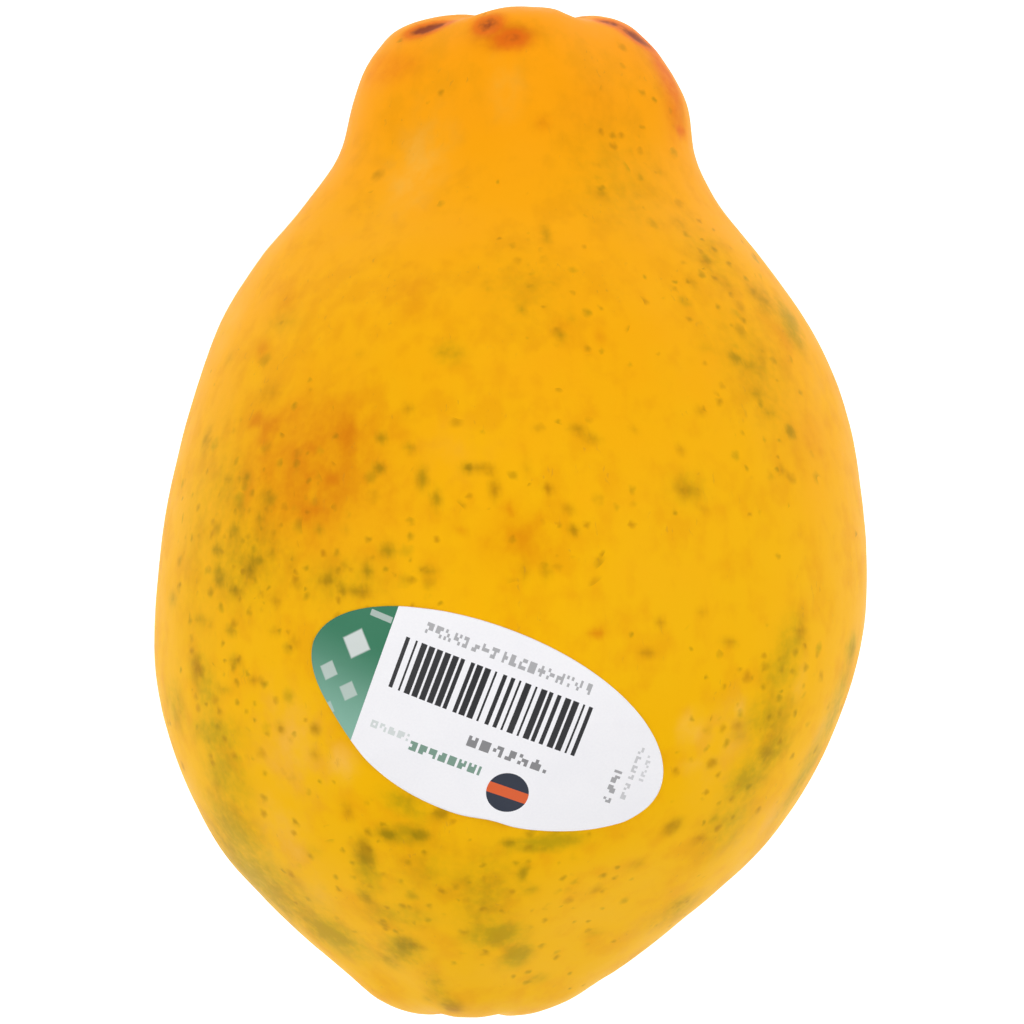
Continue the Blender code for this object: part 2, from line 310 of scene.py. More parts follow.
# The freckles that stand out, by how strong they are: rows of (x, y, reach round, reach along).
SPOTS = {
    1.0: (
        (-10.7, -40.6, 1.3, 1.0), (-21.7, -46.2, 1.2, 2.4), (41.3, 17.3, 0.8, 1.0),
        (33.2, 27.6, 1.0, 1.0), (-18.7, -43.4, 1.3, 0.9), (-13.8, -43.4, 1.3, 1.0),
    ),
    0.75: (
        (-39.3, -3.3, 1.1, 1.3), (-41, -7.6, 1.1, 1.1), (-13.6, 9.0, 1.0, 1.7),
        (-11.6, 6.5, 0.9, 1.5), (-6.1, 11.3, 1.3, 0.9), (-2.4, 8.7, 0.9, 1.7),
        (-4.0, 11.5, 1.6, 0.8), (5.5, 7.8, 0.8, 1.0), (9.5, 1.9, 0.8, 0.8),
        (-19.7, 15.3, 0.9, 0.9), (-19.8, 11.9, 1.0, 0.7), (-21.9, -3.5, 0.9, 1.4),
        (-18.5, -1.2, 1.4, 1.2), (-22.9, -6.6, 2.0, 0.9), (-25, -7.7, 1.0, 0.8),
        (-27.9, -5.1, 1.3, 1.2), (-44.1, -0.8, 0.9, 1.1), (-43.4, -6.2, 0.9, 0.9),
        (-43.7, -3.5, 0.9, 1.0), (-41.4, 1.6, 0.8, 1.3), (-41.9, -12.4, 0.9, 1.0),
        (-41.3, -17.9, 1.1, 1.1), (-46.8, -18.4, 1.0, 1.9), (-9.0, -69.0, 1.8, 1.3),
        (-21.9, -52.4, 1.2, 1.5), (-15.9, -59.5, 2.0, 1.2), (1.7, -48.8, 1.0, 1.6),
        (23.8, -42.3, 1.5, 1.3), (-37.8, -2.2, 1.2, 0.8), (-0.7, -44.5, 1.2, 0.7),
    ),
    0.5: (
        (25.5, 8.3, 1.1, 1.8), (36.5, 22.6, 1.4, 1.0), (35.9, 37.4, 1.0, 1.3),
        (-45.6, 15.7, 1.0, 1.8), (-42.5, 9.6, 0.8, 0.9), (-39.5, 9.8, 0.9, 1.2),
        (-40.8, 5.4, 0.9, 1.7), (-37.5, 3.4, 0.8, 1.0), (-37, 7.2, 1.3, 1.8),
        (-50.5, -9, 0.9, 1.4), (-46.6, -11.4, 1.1, 0.9), (-35.5, -8, 1.0, 0.9),
        (-35.5, -12.4, 1.1, 0.9), (-32.3, -14.7, 0.9, 1.3), (-43.2, -21.8, 1.4, 0.7),
        (-38.7, -20.3, 0.9, 0.8), (-29.4, -27, 0.9, 1.2), (-34.4, -27.8, 0.8, 1.2),
        (-29.5, -31, 0.9, 1.2), (-28.6, 1.7, 0.8, 0.9), (-15.5, 19.6, 1.1, 1.1),
        (-15.5, 14.2, 1.0, 0.9), (-12.7, -3.5, 1.6, 1.0), (8.8, 4.9, 1.1, 0.8),
        (5.4, -3.5, 1.0, 1.4), (1.6, -4.6, 0.8, 1.6), (9.4, 16.8, 1.7, 0.8),
        (11.9, 15.9, 1.7, 0.7), (5.2, 46, 0.9, 1.7), (1.8, 34.7, 0.8, 0.9),
        (7.2, 31.5, 1.1, 1.1), (26.8, 38.8, 0.9, 1.0), (28.8, 41.8, 1.4, 0.9),
        (37.7, 35.8, 1.6, 1.3), (36.1, 25.9, 1.9, 0.9), (28.2, 19.2, 0.9, 0.9),
        (38.4, 18.9, 1.4, 0.9), (40.1, 11.4, 0.8, 1.1), (25.3, 13.8, 0.9, 1.1),
        (22.2, -11.4, 1.0, 1.1), (20.3, -16, 1.4, 0.8), (32.2, -13.9, 1.5, 0.8),
        (42.6, -12.4, 0.9, 1.3), (2.8, -51.8, 1.4, 0.9), (-24.3, -40.3, 1.0, 1.6),
        (28.2, -44, 1.3, 1.0), (4.1, -64.6, 1.6, 0.9), (25, -53.3, 1.4, 1.0),
        (-18.4, -62.2, 1.6, 1.4), (29.6, -32.5, 1.1, 0.9), (38.1, -31.1, 1.8, 1.2),
    ),
    0.3: (
        (27.6, 8.7, 1.4, 0.9), (37.8, -28.4, 1.8, 0.9), (-3.7, 38.2, 0.9, 1.2),
        (8.6, 34, 0.9, 0.9), (2.2, 11.7, 0.9, 1.7), (28.6, 28.5, 1.6, 1.1),
        (28.5, 5.7, 1.1, 0.9), (24.7, 47.8, 1.4, 1.0), (21.3, 55.8, 1.5, 1.0),
        (32, 38.2, 1.6, 1.0), (-22.6, 28.1, 1.3, 1.1), (-36.1, 22.9, 2.4, 1.8),
        (-42.2, 27.1, 0.8, 1.1), (13.7, 51.5, 1.2, 1.0), (18.8, 52.2, 1.0, 1.0),
        (17.7, 58.6, 1.0, 1.0), (18.3, 17.2, 0.9, 0.9), (3.6, 16.9, 1.0, 0.8),
        (12.1, -57.7, 1.7, 0.8), (18.3, -47.5, 1.4, 1.2), (28.6, -10.9, 1.0, 0.9),
        (-24.9, 2, 1.1, 0.9), (33.2, -28.6, 1.6, 0.9), (-32.8, -3.2, 1.0, 2.0),
        (-12, -49, 1.4, 2.0), (-9.3, 28.6, 1.8, 1.1), (-12.6, -68.0, 1.0, 0.8),
        (-7, -50, 2.0, 1.4), (-29.6, -46, 1.6, 1.2),
    ),
}

# How thickly the small freckles lie between them: the same rows as the marks, with the share of
# freckles kept as the strength.
FRECKLE_GROUNDS = (
    (6, 38, 11, 14, 0, 0.45),
    (-38, 0, 13, 18, 0, 1.0),
    (-22, -4, 15, 9, 0, 0.90),
    (-41, -24, 10, 16, 0, 0.80),
    (-10, 8, 12, 9, 0, 0.35),
    (33, 30, 11, 22, 0, 0.45),
    (38, -26, 10, 14, 0, 0.80),
    (-18, -52, 16, 12, 0, 0.80),
    (4, -52, 12, 12, 0, 0.65),
    (18, 54, 8, 12, 0, 0.35),
    (10, 4, 10, 8, 0, 0.35),
    (-34, -38, 8, 8, 0, 0.45),
)
UNDERSIDE_FRECKLES = 0.7
UNDERSIDE_OLIVE = 0.8
UNDERSIDE_BLUSH = 0.6
UNDERSIDE_START = 0.35  # how far up the skin still faces where it begins
LEAST_FRECKLES = 0.04

BRUISE_DEPTH = 0.35 * MM
CORK_RADIUS = 4.7 * MM
CORK_EDGE = 0.25 * MM
NUB_MARK_RADIUS = 1.5 * MM
BLOTCH_SIZE = 16 * MM
CROWN_REACH = 40 * MM
GROUND_HEIGHT = 2.0 * MM
GROUND_EDGE = 0.8 * MM

# The label: where its middle lies as seen from above, the size that it was cut to, and how it is
# bent to the skin, across the fruit and along it: a radius, and how its middle leans.
LABEL_CENTRE = (-4.8 * MM, -24.9 * MM)
LABEL_LENGTH = 56.6 * MM
LABEL_WIDTH = 28.2 * MM
LABEL_TURN = math.radians(-21)
LABEL_BEND_ACROSS = 50 * MM
LABEL_LEAN_ACROSS = math.radians(-5)
LABEL_BEND_ALONG = 75 * MM
LABEL_LEAN_ALONG = math.radians(-15)
LABEL_THICKNESS = 0.12 * MM
LABEL_GAP = 0.04 * MM
LABEL_CELLS = (180, 96)
LABEL_DROP_HEIGHT = 0.2

# The oval isn't quite even: one of its four quarters is slimmer, by this share at most.
SLIMMING = 0.14
SLIM_ANGLE = math.radians(-144)
SLIM_SPREAD = math.radians(35)

# Puckers in the label's rim: (angle in degrees, notch depth, lift, spread in degrees). The first
# one is deep enough to show as a notch.
PUCKERS = (
    (-76, 0.70 * MM, 0.42 * MM, 6.0),
    (-121, 0.05 * MM, 0.16 * MM, 5.0),
    (-28, 0.04 * MM, 0.14 * MM, 4.0),
    (38, 0.03 * MM, 0.12 * MM, 4.0),
    (118, 0.05 * MM, 0.18 * MM, 5.0),
    (171, 0.03 * MM, 0.10 * MM, 6.0),
)

# The label's print, in millimetres from the label's middle: u along it, towards its plain end, and
# v across it. A box is (u, v, half length, half width).
CAP_EDGE_MM = -16.5
CAP_FADE_MM = (6.0, -10.0)  # the cap's green pales between these two v
CAP_DIAMONDS = (  # (u, v, half width, how white)
    (-20.6, 4.2, 2.5, 0.95),
    (-23.4, -1.0, 1.7, 0.65),
    (-19.4, -2.6, 1.7, 0.60),
    (-21.6, -6.2, 1.3, 0.45),
)
CAP_STRIPE = (-18.4, 9.2, 1.7, 0.45)
BARS = (0.1, 4.1, 14.3, 3.8)
BAR_MODULES = 95
BAR_SHARE = 0.62

# Rows of small printed marks, which say nothing: (box, cells along, cells across, share inked,
# depth of colour), with the cells in groups that have a bare one between them.
GROUP = 4
INK_ROWS = (
    ((0.6, 10.2, 12.6, 0.8), 72, 3, 0.62, 0.55),
    ((5.3, -2.8, 6.2, 0.8), 26, 3, 0.80, 0.75),
    ((21.3, -2.3, 0.6, 2.8), 14, 3, 0.70, 0.60),
    ((23.4, 0.6, 0.4, 4.4), 24, 2, 0.60, 0.35),
    ((25.0, 1.6, 0.35, 2.6), 14, 2, 0.60, 0.28),
)
GREEN_ROWS = (
    ((-2.7, -6.5, 5.6, 0.7), 30, 3, 0.85, 0.80),
    ((-11.6, -5.6, 3.2, 0.55), 18, 3, 0.75, 0.30),
)
EMBLEM = (7.6, -8.2)
EMBLEM_RADIUS_MM = 3.0
EMBLEM_BAND_HALF_MM = 0.8
PRINT_SEED = 17

# Colours, as screen levels.
AMBER = srgb(241, 166, 3)
GOLD = srgb(238, 179, 2)
DEEP_AMBER = srgb(226, 148, 3)
CROWN_ORANGE = srgb(250, 150, 6)
PAINTED_SHEEN_PEACH = srgb(248, 196, 92)
BLUSH = srgb(210, 118, 1)
OLIVE_AND_SHADE_TONE = srgb(136, 130, 8)
FRECKLE = srgb(130, 110, 4)
FRECKLE_BROWN = srgb(158, 94, 2)
BRUISE_HALO = srgb(222, 98, 14)
BRUISE_CORE = srgb(128, 52, 26)
SCUFF = srgb(178, 122, 48)
CORK = srgb(176, 142, 96)
CORK_DARK = srgb(104, 74, 44)
GROUND = srgb(240, 196, 96)

PAPER = srgb(240, 239, 242)
PAPER_SHADE = srgb(226, 226, 232)
INK = srgb(34, 34, 38)
GREEN = srgb(24, 112, 78)
GREEN_PALE = srgb(128, 176, 158)
GREY_WHITE = srgb(206, 212, 210)
NAVY = srgb(24, 34, 54)
ORANGE = srgb(214, 86, 26)

FLOOR_TONES = (srgb(246, 246, 246), srgb(250, 250, 250))

# The scales of the skin's pattern, in millimetres.
WIDE_MM = 34
DRIFT_MM = 12
MIDDLE_MM = 8
PATCH_MM = 3
FINE_MM = 1.1
PORE_MM = 0.45
SMALL_FRECKLES = (2.1, 0.55, 1.10)  # (cell, smallest, largest radius)
LARGE_FRECKLES = (4.0, 1.00, 1.80)
SKIN_STRETCH = (1.0, 0.7, 1.0)  # the pattern is longer along the fruit
FRECKLE_RANDOMNESS = 0.75  # of their places, low enough that they seldom touch
SCUFF_MM = 0.5
SCUFF_STRETCH = (1.0, 0.12, 1.0)
FIBRE_MM = 0.35
CLOUD_MM = 9
SKIN_BUMP = 0.02 * MM
PAPER_BUMP = 0.012 * MM

# How ragged what noise moves about gets: (size of the swells, reach), in millimetres.
FRECKLE_SHAKE = (1.2, 1.0)
PRINT_SHAKE = (0.5, 0.03)

# Weights in the sums that patterns are mixed by, in the order in which those are given there.
GOLDEN_MIX = (1.1, 0.5, 0.4, -0.5)
DEEP_MIX = (0.5, 0.5)
FRECKLE_MIX = (1.0, 0.8, -0.45)
CORK_MIX = (0.4, 0.6)
SKIN_ROUGHNESS_MIX = (0.16, 0.08, 0.35, 0.36)
SKIN_BUMP_MIX = (0.6, 0.9)
SHADE_MIX = (0.5, 0.5)
PAPER_ROUGHNESS_MIX = (0.12, 0.1, 0.34)
PAPER_BUMP_MIX = (0.5, 6.0)

# Where a pattern starts to show, where it is full, and how much it then covers.
GOLDEN_RISE = (0.0, 0.8)
DEEP_RISE = (0.44, 0.64, 0.42)
SPOTS_RISE = (0.0, 0.85, 0.60)
BROWN_RISE = (0.4, 0.6)
SCUFF_RISE = (0.66, 0.76)
SCUFF_PLACES_RISE = (0.5, 0.64)
HALO_RISE = (0.02, 0.42, 0.75)
CORE_RISE = (0.40, 0.90, 0.9)
CORK_RISE = (0.35, 0.65)
SHADE_RISE = (0.3, 0.7, 0.35)

# How much else covers the skin below it.
CROWN_COVER = 0.85
SMALL_FRECKLE_COVER = 0.48
LARGE_FRECKLE_COVER = 0.42
SCUFF_COVER = 0.25
GROUND_COVER = 0.45
STRIPE_COVER = 0.6
DIAMOND_CORE = 0.8  # the share of a diamond that is full in colour

# The marks that tint wide areas: (mark, how patchy, how grainy, the rise as above, colour).
TINTS = (
    # Painted sheen: a painted highlight in pale peach.
    ("pale", 1.7, 0.3, (0.1, 0.9, 0.6), PAINTED_SHEEN_PEACH),
    ("blush", 1.2, 0.4, (0.0, 1.0, 0.9), BLUSH),
    # Partly the skin's olive tone, partly painted shade at the left flank and right rim.
    ("olive_and_painted_shade", 1.3, 0.9, (0.0, 0.95, 0.56), OLIVE_AND_SHADE_TONE),
)

# How patchy and how grainy the freckles that stand out and the bruises are.
SPOTS_RAGGEDNESS = (1.0, 0.8)
BRUISE_RAGGEDNESS = (0.9, 0.6)

SKIN_SPECULAR = 0.055
PAPER_SPECULAR = 0.4
FLOOR_ROUGHNESS = 0.8

# The set
FLOOR_HALF = 2.0
FLOOR_GAP = 0.02 * MM  # keeps the floor from lying in the very plane of the flat spot
FLOOR_GLOW = 0.5
FLOOR_GRAIN_MM = 2
LIGHTS = (  # (name, place, side length, watts)
    ("left_softbox", (-0.80, 0.10, 0.75), 0.9, 4.1),
    ("right_softbox", (0.80, 0.15, 0.75), 0.9, 4.1),
    ("back_softbox", (0.0, 0.95, 0.85), 0.9, 3.48),
    ("front_softbox", (0.0, -0.95, 0.85), 0.9, 3.48),
)
WORLD_STRENGTH = 0.43


def smooth(at, knots, values):
    """A smooth curve through the values at the knots, read at each place in at."""
    knots = np.asarray(knots, float)
    values = np.asarray(values, float)
    slopes = np.gradient(values, knots)
    i = np.clip(np.searchsorted(knots, at) - 1, 0, len(knots) - 2)
    span = knots[i + 1] - knots[i]
    u = (at - knots[i]) / span
    start = (1 + 2 * u) * (1 - u) ** 2 * values[i] + u * (1 - u) ** 2 * span * slopes[i]
    end = u**2 * (3 - 2 * u) * values[i + 1] + u**2 * (u - 1) * span * slopes[i + 1]
    return start + end


def at_station(station, table):
    """What a table of (station in mm, value) says at a station in metres."""
    knots, values = zip(*table)
    return smooth(station / MM, knots, values)


def side_outline(share):
    """Radius and station in metres, at a share, 0 to 1, of the way along the outline."""
    radii, stations = np.array(OUTLINE_MM).T * MM
    # Past each end the outline goes on as its own mirror image, which keeps the ends round.
    radii = np.concatenate(([-radii[1]], radii, [-radii[-2]]))
    stations = np.concatenate(([stations[1]], stations, [stations[-2]]))
    run = np.concatenate(([0], np.cumsum(np.hypot(np.diff(radii), np.diff(stations)))))
    at = run[1] + share * (run[-2] - run[1])
    return smooth(at, run, radii), smooth(at, run, stations)


def bell(value, middle, width):
    """1 at the middle, falling to 0 on both sides."""
    return np.exp(-(((value - middle) / width) ** 2))


def lobe_wave(station, angle):
    """1 on the lobes' crests and -1 in the furrows between them."""
    crest = LOBE_TOP + LOBE_TWIST * station / LENGTH
    return np.cos(LOBES * (angle - crest))


def plain_surface(share, angle):
    """Points of the skin without its relief. The angle is 0 at +X and a quarter turn at the top."""
    radius, station = side_outline(share)
    radius = radius * (1 + at_station(station, LOBE_HEIGHTS) * lobe_wave(station, angle))
    rise = radius * DEPTH_RATIO * np.sin(angle)
    lean = math.tan(STEM_LEAN) * bell(station, 0, STEM_LEAN_REACH)
    x = at_station(station, AXIS_SIDE_MM) * MM + radius * np.cos(angle)
    y = REST_STATION - station + rise * lean
    z = at_station(station, AXIS_RISE_MM) * MM + AXIS_HEIGHT + rise
    return np.stack((x, y, z), axis=-1)


def outward(share, angle):
    """Unit normals of the plain surface."""
    share = np.clip(share, NORMAL_STEP, 1 - NORMAL_STEP)
    along = plain_surface(share + NORMAL_STEP, angle) - plain_surface(share - NORMAL_STEP, angle)
    across = plain_surface(share, angle + NORMAL_STEP) - plain_surface(share, angle - NORMAL_STEP)
    normal = np.cross(across, along)
    return normal / np.linalg.norm(normal, axis=-1, keepdims=True)


def main_relief(radius, station, angle):
    """The swells, and the hollow, pad, dimple and furrows at the ends."""
    turns = math.tau * station / LENGTH
    swell = sum(
        height * np.sin(around * angle + phase) * np.sin(along * turns + phase)
        for height, around, along, phase in SWELLS
    )
    swell = swell * np.clip(radius / SWELL_FADE_RADIUS, 0, 1) ** 2
    furrow = ((1 - lobe_wave(station, angle)) / 2) ** FURROW_NARROWNESS

    hollow = STEM_HOLLOW_DEPTH * bell(radius, 0, STEM_HOLLOW_RADIUS)
    pad = STEM_PAD_HEIGHT / (1 + np.exp((radius - STEM_PAD_RADIUS) / STEM_PAD_EDGE))
    stem_furrow = STEM_FURROW_DEPTH * furrow * bell(radius, STEM_FURROW_RADIUS, STEM_FURROW_WIDTH)

    dimple = BLOSSOM_DIMPLE_DEPTH * bell(radius, 0, BLOSSOM_DIMPLE_RADIUS)
    fold = BLOSSOM_FURROW_DEPTH * furrow * bell(radius, BLOSSOM_FURROW_RADIUS, BLOSSOM_FURROW_WIDTH)
    return swell + np.where(station < REST_STATION, pad - hollow - stem_furrow, -dimple - fold)


def wandering_wave(count, angle, stray, often):
    """Waves from -1 to 1 round a turn, which aren't quite evenly spaced."""
    return np.sin(count * angle + stray * np.sin(often * angle))


def stem_relief(radius, angle):
    """Cracks, a rim and a sunken core on the corky pad, and wrinkles in the skin round it."""
    crack = np.clip(wandering_wave(PAD_CRACKS, angle, *PAD_CRACK_WANDER), 0, 1)
    crack = crack**PAD_CRACK_NARROWNESS
    cracks = -PAD_CRACK_DEPTH * crack * bell(radius, STEM_PAD_RADIUS / 2, STEM_PAD_RADIUS / 3)
    core = -PAD_CORE_DEPTH * bell(radius, 0, PAD_CORE_RADIUS)
    rim = PAD_RIM_HEIGHT * bell(radius, STEM_PAD_RADIUS - PAD_RIM_WIDTH, PAD_RIM_WIDTH)
    wrinkle = wandering_wave(COLLAR_WRINKLES, angle, *COLLAR_WANDER)
    wrinkles = COLLAR_WRINKLE_HEIGHT * wrinkle * bell(radius, COLLAR_RADIUS, COLLAR_WIDTH)
    return cracks + core + rim + wrinkles


def blossom_relief(radius, station, angle):
    """Narrow creases where the lobes meet at the tip, and the nub where the flower was."""
    crease = ((1 - lobe_wave(station, angle)) / 2) ** CREASE_NARROWNESS
    creases = -CREASE_DEPTH * crease * bell(radius, CREASE_RADIUS, CREASE_WIDTH)
    nub = NUB_HEIGHT * bell(radius, 0, NUB_RADIUS)
    return creases + nub


class Skin:
    """Where each point of the fine skin is on the fruit: round it, along it and in space."""

    def __init__(self, unit):
        x, y, z = unit.T
        even = np.arccos(np.clip(y, -1, 1)) / math.pi
        self.share = even - END_CROWDING * np.sin(math.tau * even) / math.tau
        self.angle = np.arctan2(z, x)
        self.radius, self.station = side_outline(self.share)
        shares = np.linspace(0, 1, OUTLINE_SAMPLES)
        steps = np.hypot(*np.diff(np.array(side_outline(shares))))
        self.run = np.interp(self.share, shares, np.concatenate(([0], np.cumsum(steps))))
        self.points = plain_surface(self.share, self.angle)
        self.normals = outward(self.share, self.angle)
        self.raise_by(self.relief() - SKIN_INSET)
        self.seen = as_seen(self.points)

    def relief(self):
        """How far the skin stands out of the plain surface."""
        ends = np.where(
            self.station < REST_STATION,
            stem_relief(self.radius, self.angle),
            blossom_relief(self.radius, self.station, self.angle),
        )
        lumps = [
            noise.fractal(Vector(point) / LUMP_SIZE, 1, LUMP_LAYER_RATIO, LUMP_LAYERS)
            for point in self.points
        ]
        form = main_relief(self.radius, self.station, self.angle)
        return form + ends + LUMP_HEIGHT * np.array(lumps)

    def raise_by(self, height):
        """Moves the skin outwards, and keeps it flat on the floor."""
        self.points = self.points + self.normals * np.asarray(height)[..., None]
        self.points[..., 2] = np.maximum(self.points[..., 2], 0)

    def mark(self, x, y, around, along, lean, strength):
        """A soft oval mark, strongest at the point of the upper side that is seen at (x, y)."""
        hidden = self.normals[:, 2] < FLATTEST_VIEW
        away = np.hypot(self.seen[:, 0] - x * MM, self.seen[:, 1] - y * MM)
        at = np.argmin(away + hidden)
        # On skin that slopes away from the camera, a mark is longer than it looks.
        side, end, up = self.normals[at]
        around *= math.hypot(side, up) / up
        along *= math.hypot(end, up) / up
        turn = (self.angle - self.angle[at] + math.pi) % math.tau - math.pi
        u = turn * self.radius / MM
        v = (self.run - self.run[at]) / MM
        lean = math.radians(lean)
        across = (u * math.cos(lean) + v * math.sin(lean)) / around
        down = (v * math.cos(lean) - u * math.sin(lean)) / along
        return strength * np.exp(-(across**2) - down**2)

    def marks(self, table):
        """All the marks of a table together, where the strongest one counts."""
        return np.max([self.mark(*row) for row in table], axis=0)

    def spots(self):
        """The freckles that stand out."""
        rows = [
            (x, y, around, along, 0, strength)
            for strength, spots in SPOTS.items()
            for x, y, around, along in spots
        ]
        return self.marks(rows)

    def nub(self):
        """The brown mark where the flower was."""
        return bell(self.radius, 0, NUB_MARK_RADIUS) * (self.station > REST_STATION)

    def underside(self):
        """How far each point faces down, and a cloud of soft blotches from -1 to 1 over it."""
        down = np.clip(UNDERSIDE_START - self.normals[:, 2], 0, 1)
        blotches = [noise.noise(Vector(point) / BLOTCH_SIZE) for point in self.points]
        return down, np.array(blotches)


def as_seen(points):
    """Where the camera sees points, on the level plane through the fruit's axis."""
    reach = CAMERA_DISTANCE / (AXIS_HEIGHT + CAMERA_DISTANCE - points[:, 2:])
    return FRAME_CENTRE + (points[:, :2] - FRAME_CENTRE) * reach


def fall_off(value, edge, width):
    """1 well below the edge and 0 well above it."""
    return 1 / (1 + np.exp((value - edge) / width))


def give_attribute(mesh, name, values):
    """Keeps a number, or a vector, for each vertex."""
    kind, field = ("FLOAT", "value") if values.ndim == 1 else ("FLOAT_VECTOR", "vector")
    attribute = mesh.attributes.new(name, kind, "POINT")
    attribute.data.foreach_set(field, values.astype(np.float32).ravel())


def make_fruit():
    """A fine sphere with its poles at the fruit's two ends, moved onto the skin."""
    bm = bmesh.new()
    poles = Matrix.Rotation(math.radians(-90), 4, "X")
    bmesh.ops.create_uvsphere(bm, u_segments=SEGMENTS, v_segments=RINGS, radius=1, matrix=poles)
    mesh = bpy.data.meshes.new("papaya_body")
    bm.to_mesh(mesh)
    bm.free()
    unit = np.empty(len(mesh.vertices) * 3)
    mesh.vertices.foreach_get("co", unit)
    skin = Skin(unit.reshape(-1, 3))

    bruise = skin.marks(BRUISES)
    skin.raise_by(-BRUISE_DEPTH * bruise)
    mesh.vertices.foreach_set("co", skin.points.ravel())
    mesh.shade_smooth()

    down, blotches = skin.underside()
    freckles = np.maximum(skin.marks(FRECKLE_GROUNDS), down * UNDERSIDE_FRECKLES)
    patterns = {
        "along": skin.station / LENGTH,
        "crown": np.exp(-((skin.run / CROWN_REACH) ** 2)),
        "blush": np.maximum(skin.marks(BLUSHES), -blotches * down * UNDERSIDE_BLUSH),
        # The olive mark is partly the skin's olive patches and partly painted shade at the left
        # flank and the right rim.
        "olive_and_painted_shade": np.maximum(skin.marks(OLIVE_PATCHES_AND_PAINTED_SHADE), blotches * down * UNDERSIDE_OLIVE),
        # The pale mark is painted sheen, a painted highlight.
        "pale": skin.marks(PAINTED_SHEEN_PATCHES),
        "spots": np.maximum(skin.spots(), skin.nub()),
        "freckles": np.maximum(freckles, LEAST_FRECKLES),
        "bruise": bruise,
        "cork": fall_off(skin.radius, CORK_RADIUS, CORK_EDGE) * (skin.station < REST_STATION),
        "ground": fall_off(skin.points[:, 2], GROUND_HEIGHT, GROUND_EDGE),
    }
    for name, values in patterns.items():
        give_attribute(mesh, name, values)

    fruit = bpy.data.objects.new("papaya_body", mesh)
    bpy.context.scene.collection.objects.link(fruit)
    mesh.materials.append(skin_material())
    return fruit


def bent(distance, lean, radius):
    """How long a distance on the flat label looks from above, once the label is bent."""
    return radius * (math.sin(lean + distance / radius) - math.sin(lean))


def rim_bell(x, y, angle, spread):
    """1 in one direction from the label's middle, falling to 0 on both sides of it."""
    return bell(math.remainder(math.atan2(y, x) - angle, math.tau), 0, spread)


def label_point(x, y):
    """Where a point of the square from -1 to 1 goes on the label: flat, as seen from above, and how
    far a pucker lifts it."""
    x, y = x * math.sqrt(1 - y**2 / 2), y * math.sqrt(1 - x**2 / 2)
    outness = math.hypot(x, y)
    fullness = 1 - SLIMMING * rim_bell(x, y, SLIM_ANGLE, SLIM_SPREAD) * outness**2
    notch = lift = 0
    for angle, depth, height, spread in PUCKERS:
        pucker = rim_bell(x, y, math.radians(angle), math.radians(spread)) * outness**4
        notch += depth * pucker
        lift += height * pucker
    flat = Vector((x * LABEL_LENGTH / 2, y * (LABEL_WIDTH / 2 - notch))) * fullness
    turned = flat.copy()
    turned.rotate(Matrix.Rotation(LABEL_TURN, 2))
    across = bent(turned.x, LABEL_LEAN_ACROSS, LABEL_BEND_ACROSS)
    along = bent(turned.y, LABEL_LEAN_ALONG, LABEL_BEND_ALONG)
    return flat, Vector(LABEL_CENTRE) + Vector((across, along)), lift


def make_label(fruit):
    """A thin oval sheet laid on the skin, with its rim puckered where it can't follow the bulge."""
    bm = bmesh.new()
    bmesh.ops.create_grid(bm, x_segments=LABEL_CELLS[0], y_segments=LABEL_CELLS[1], size=1)
    prints = []
    for vertex in bm.verts:
        flat, seen, lift = label_point(vertex.co.x, vertex.co.y)
        prints.append((flat.x / MM, flat.y / MM, 0))
        _, place, normal, _ = fruit.ray_cast((*seen, LABEL_DROP_HEIGHT), (0, 0, -1))
        vertex.co = place + normal * (LABEL_GAP + lift)
    mesh = bpy.data.meshes.new("label_sheet")
    bm.to_mesh(mesh)
    bm.free()
    mesh.shade_smooth()
    give_attribute(mesh, "print", np.array(prints))
    label = bpy.data.objects.new("label_sheet", mesh)
    bpy.context.scene.collection.objects.link(label)
    thick = label.modifiers.new("paper thickness", "SOLIDIFY")
    thick.thickness = LABEL_THICKNESS
    thick.offset = 1
    mesh.materials.append(label_material())
    return label


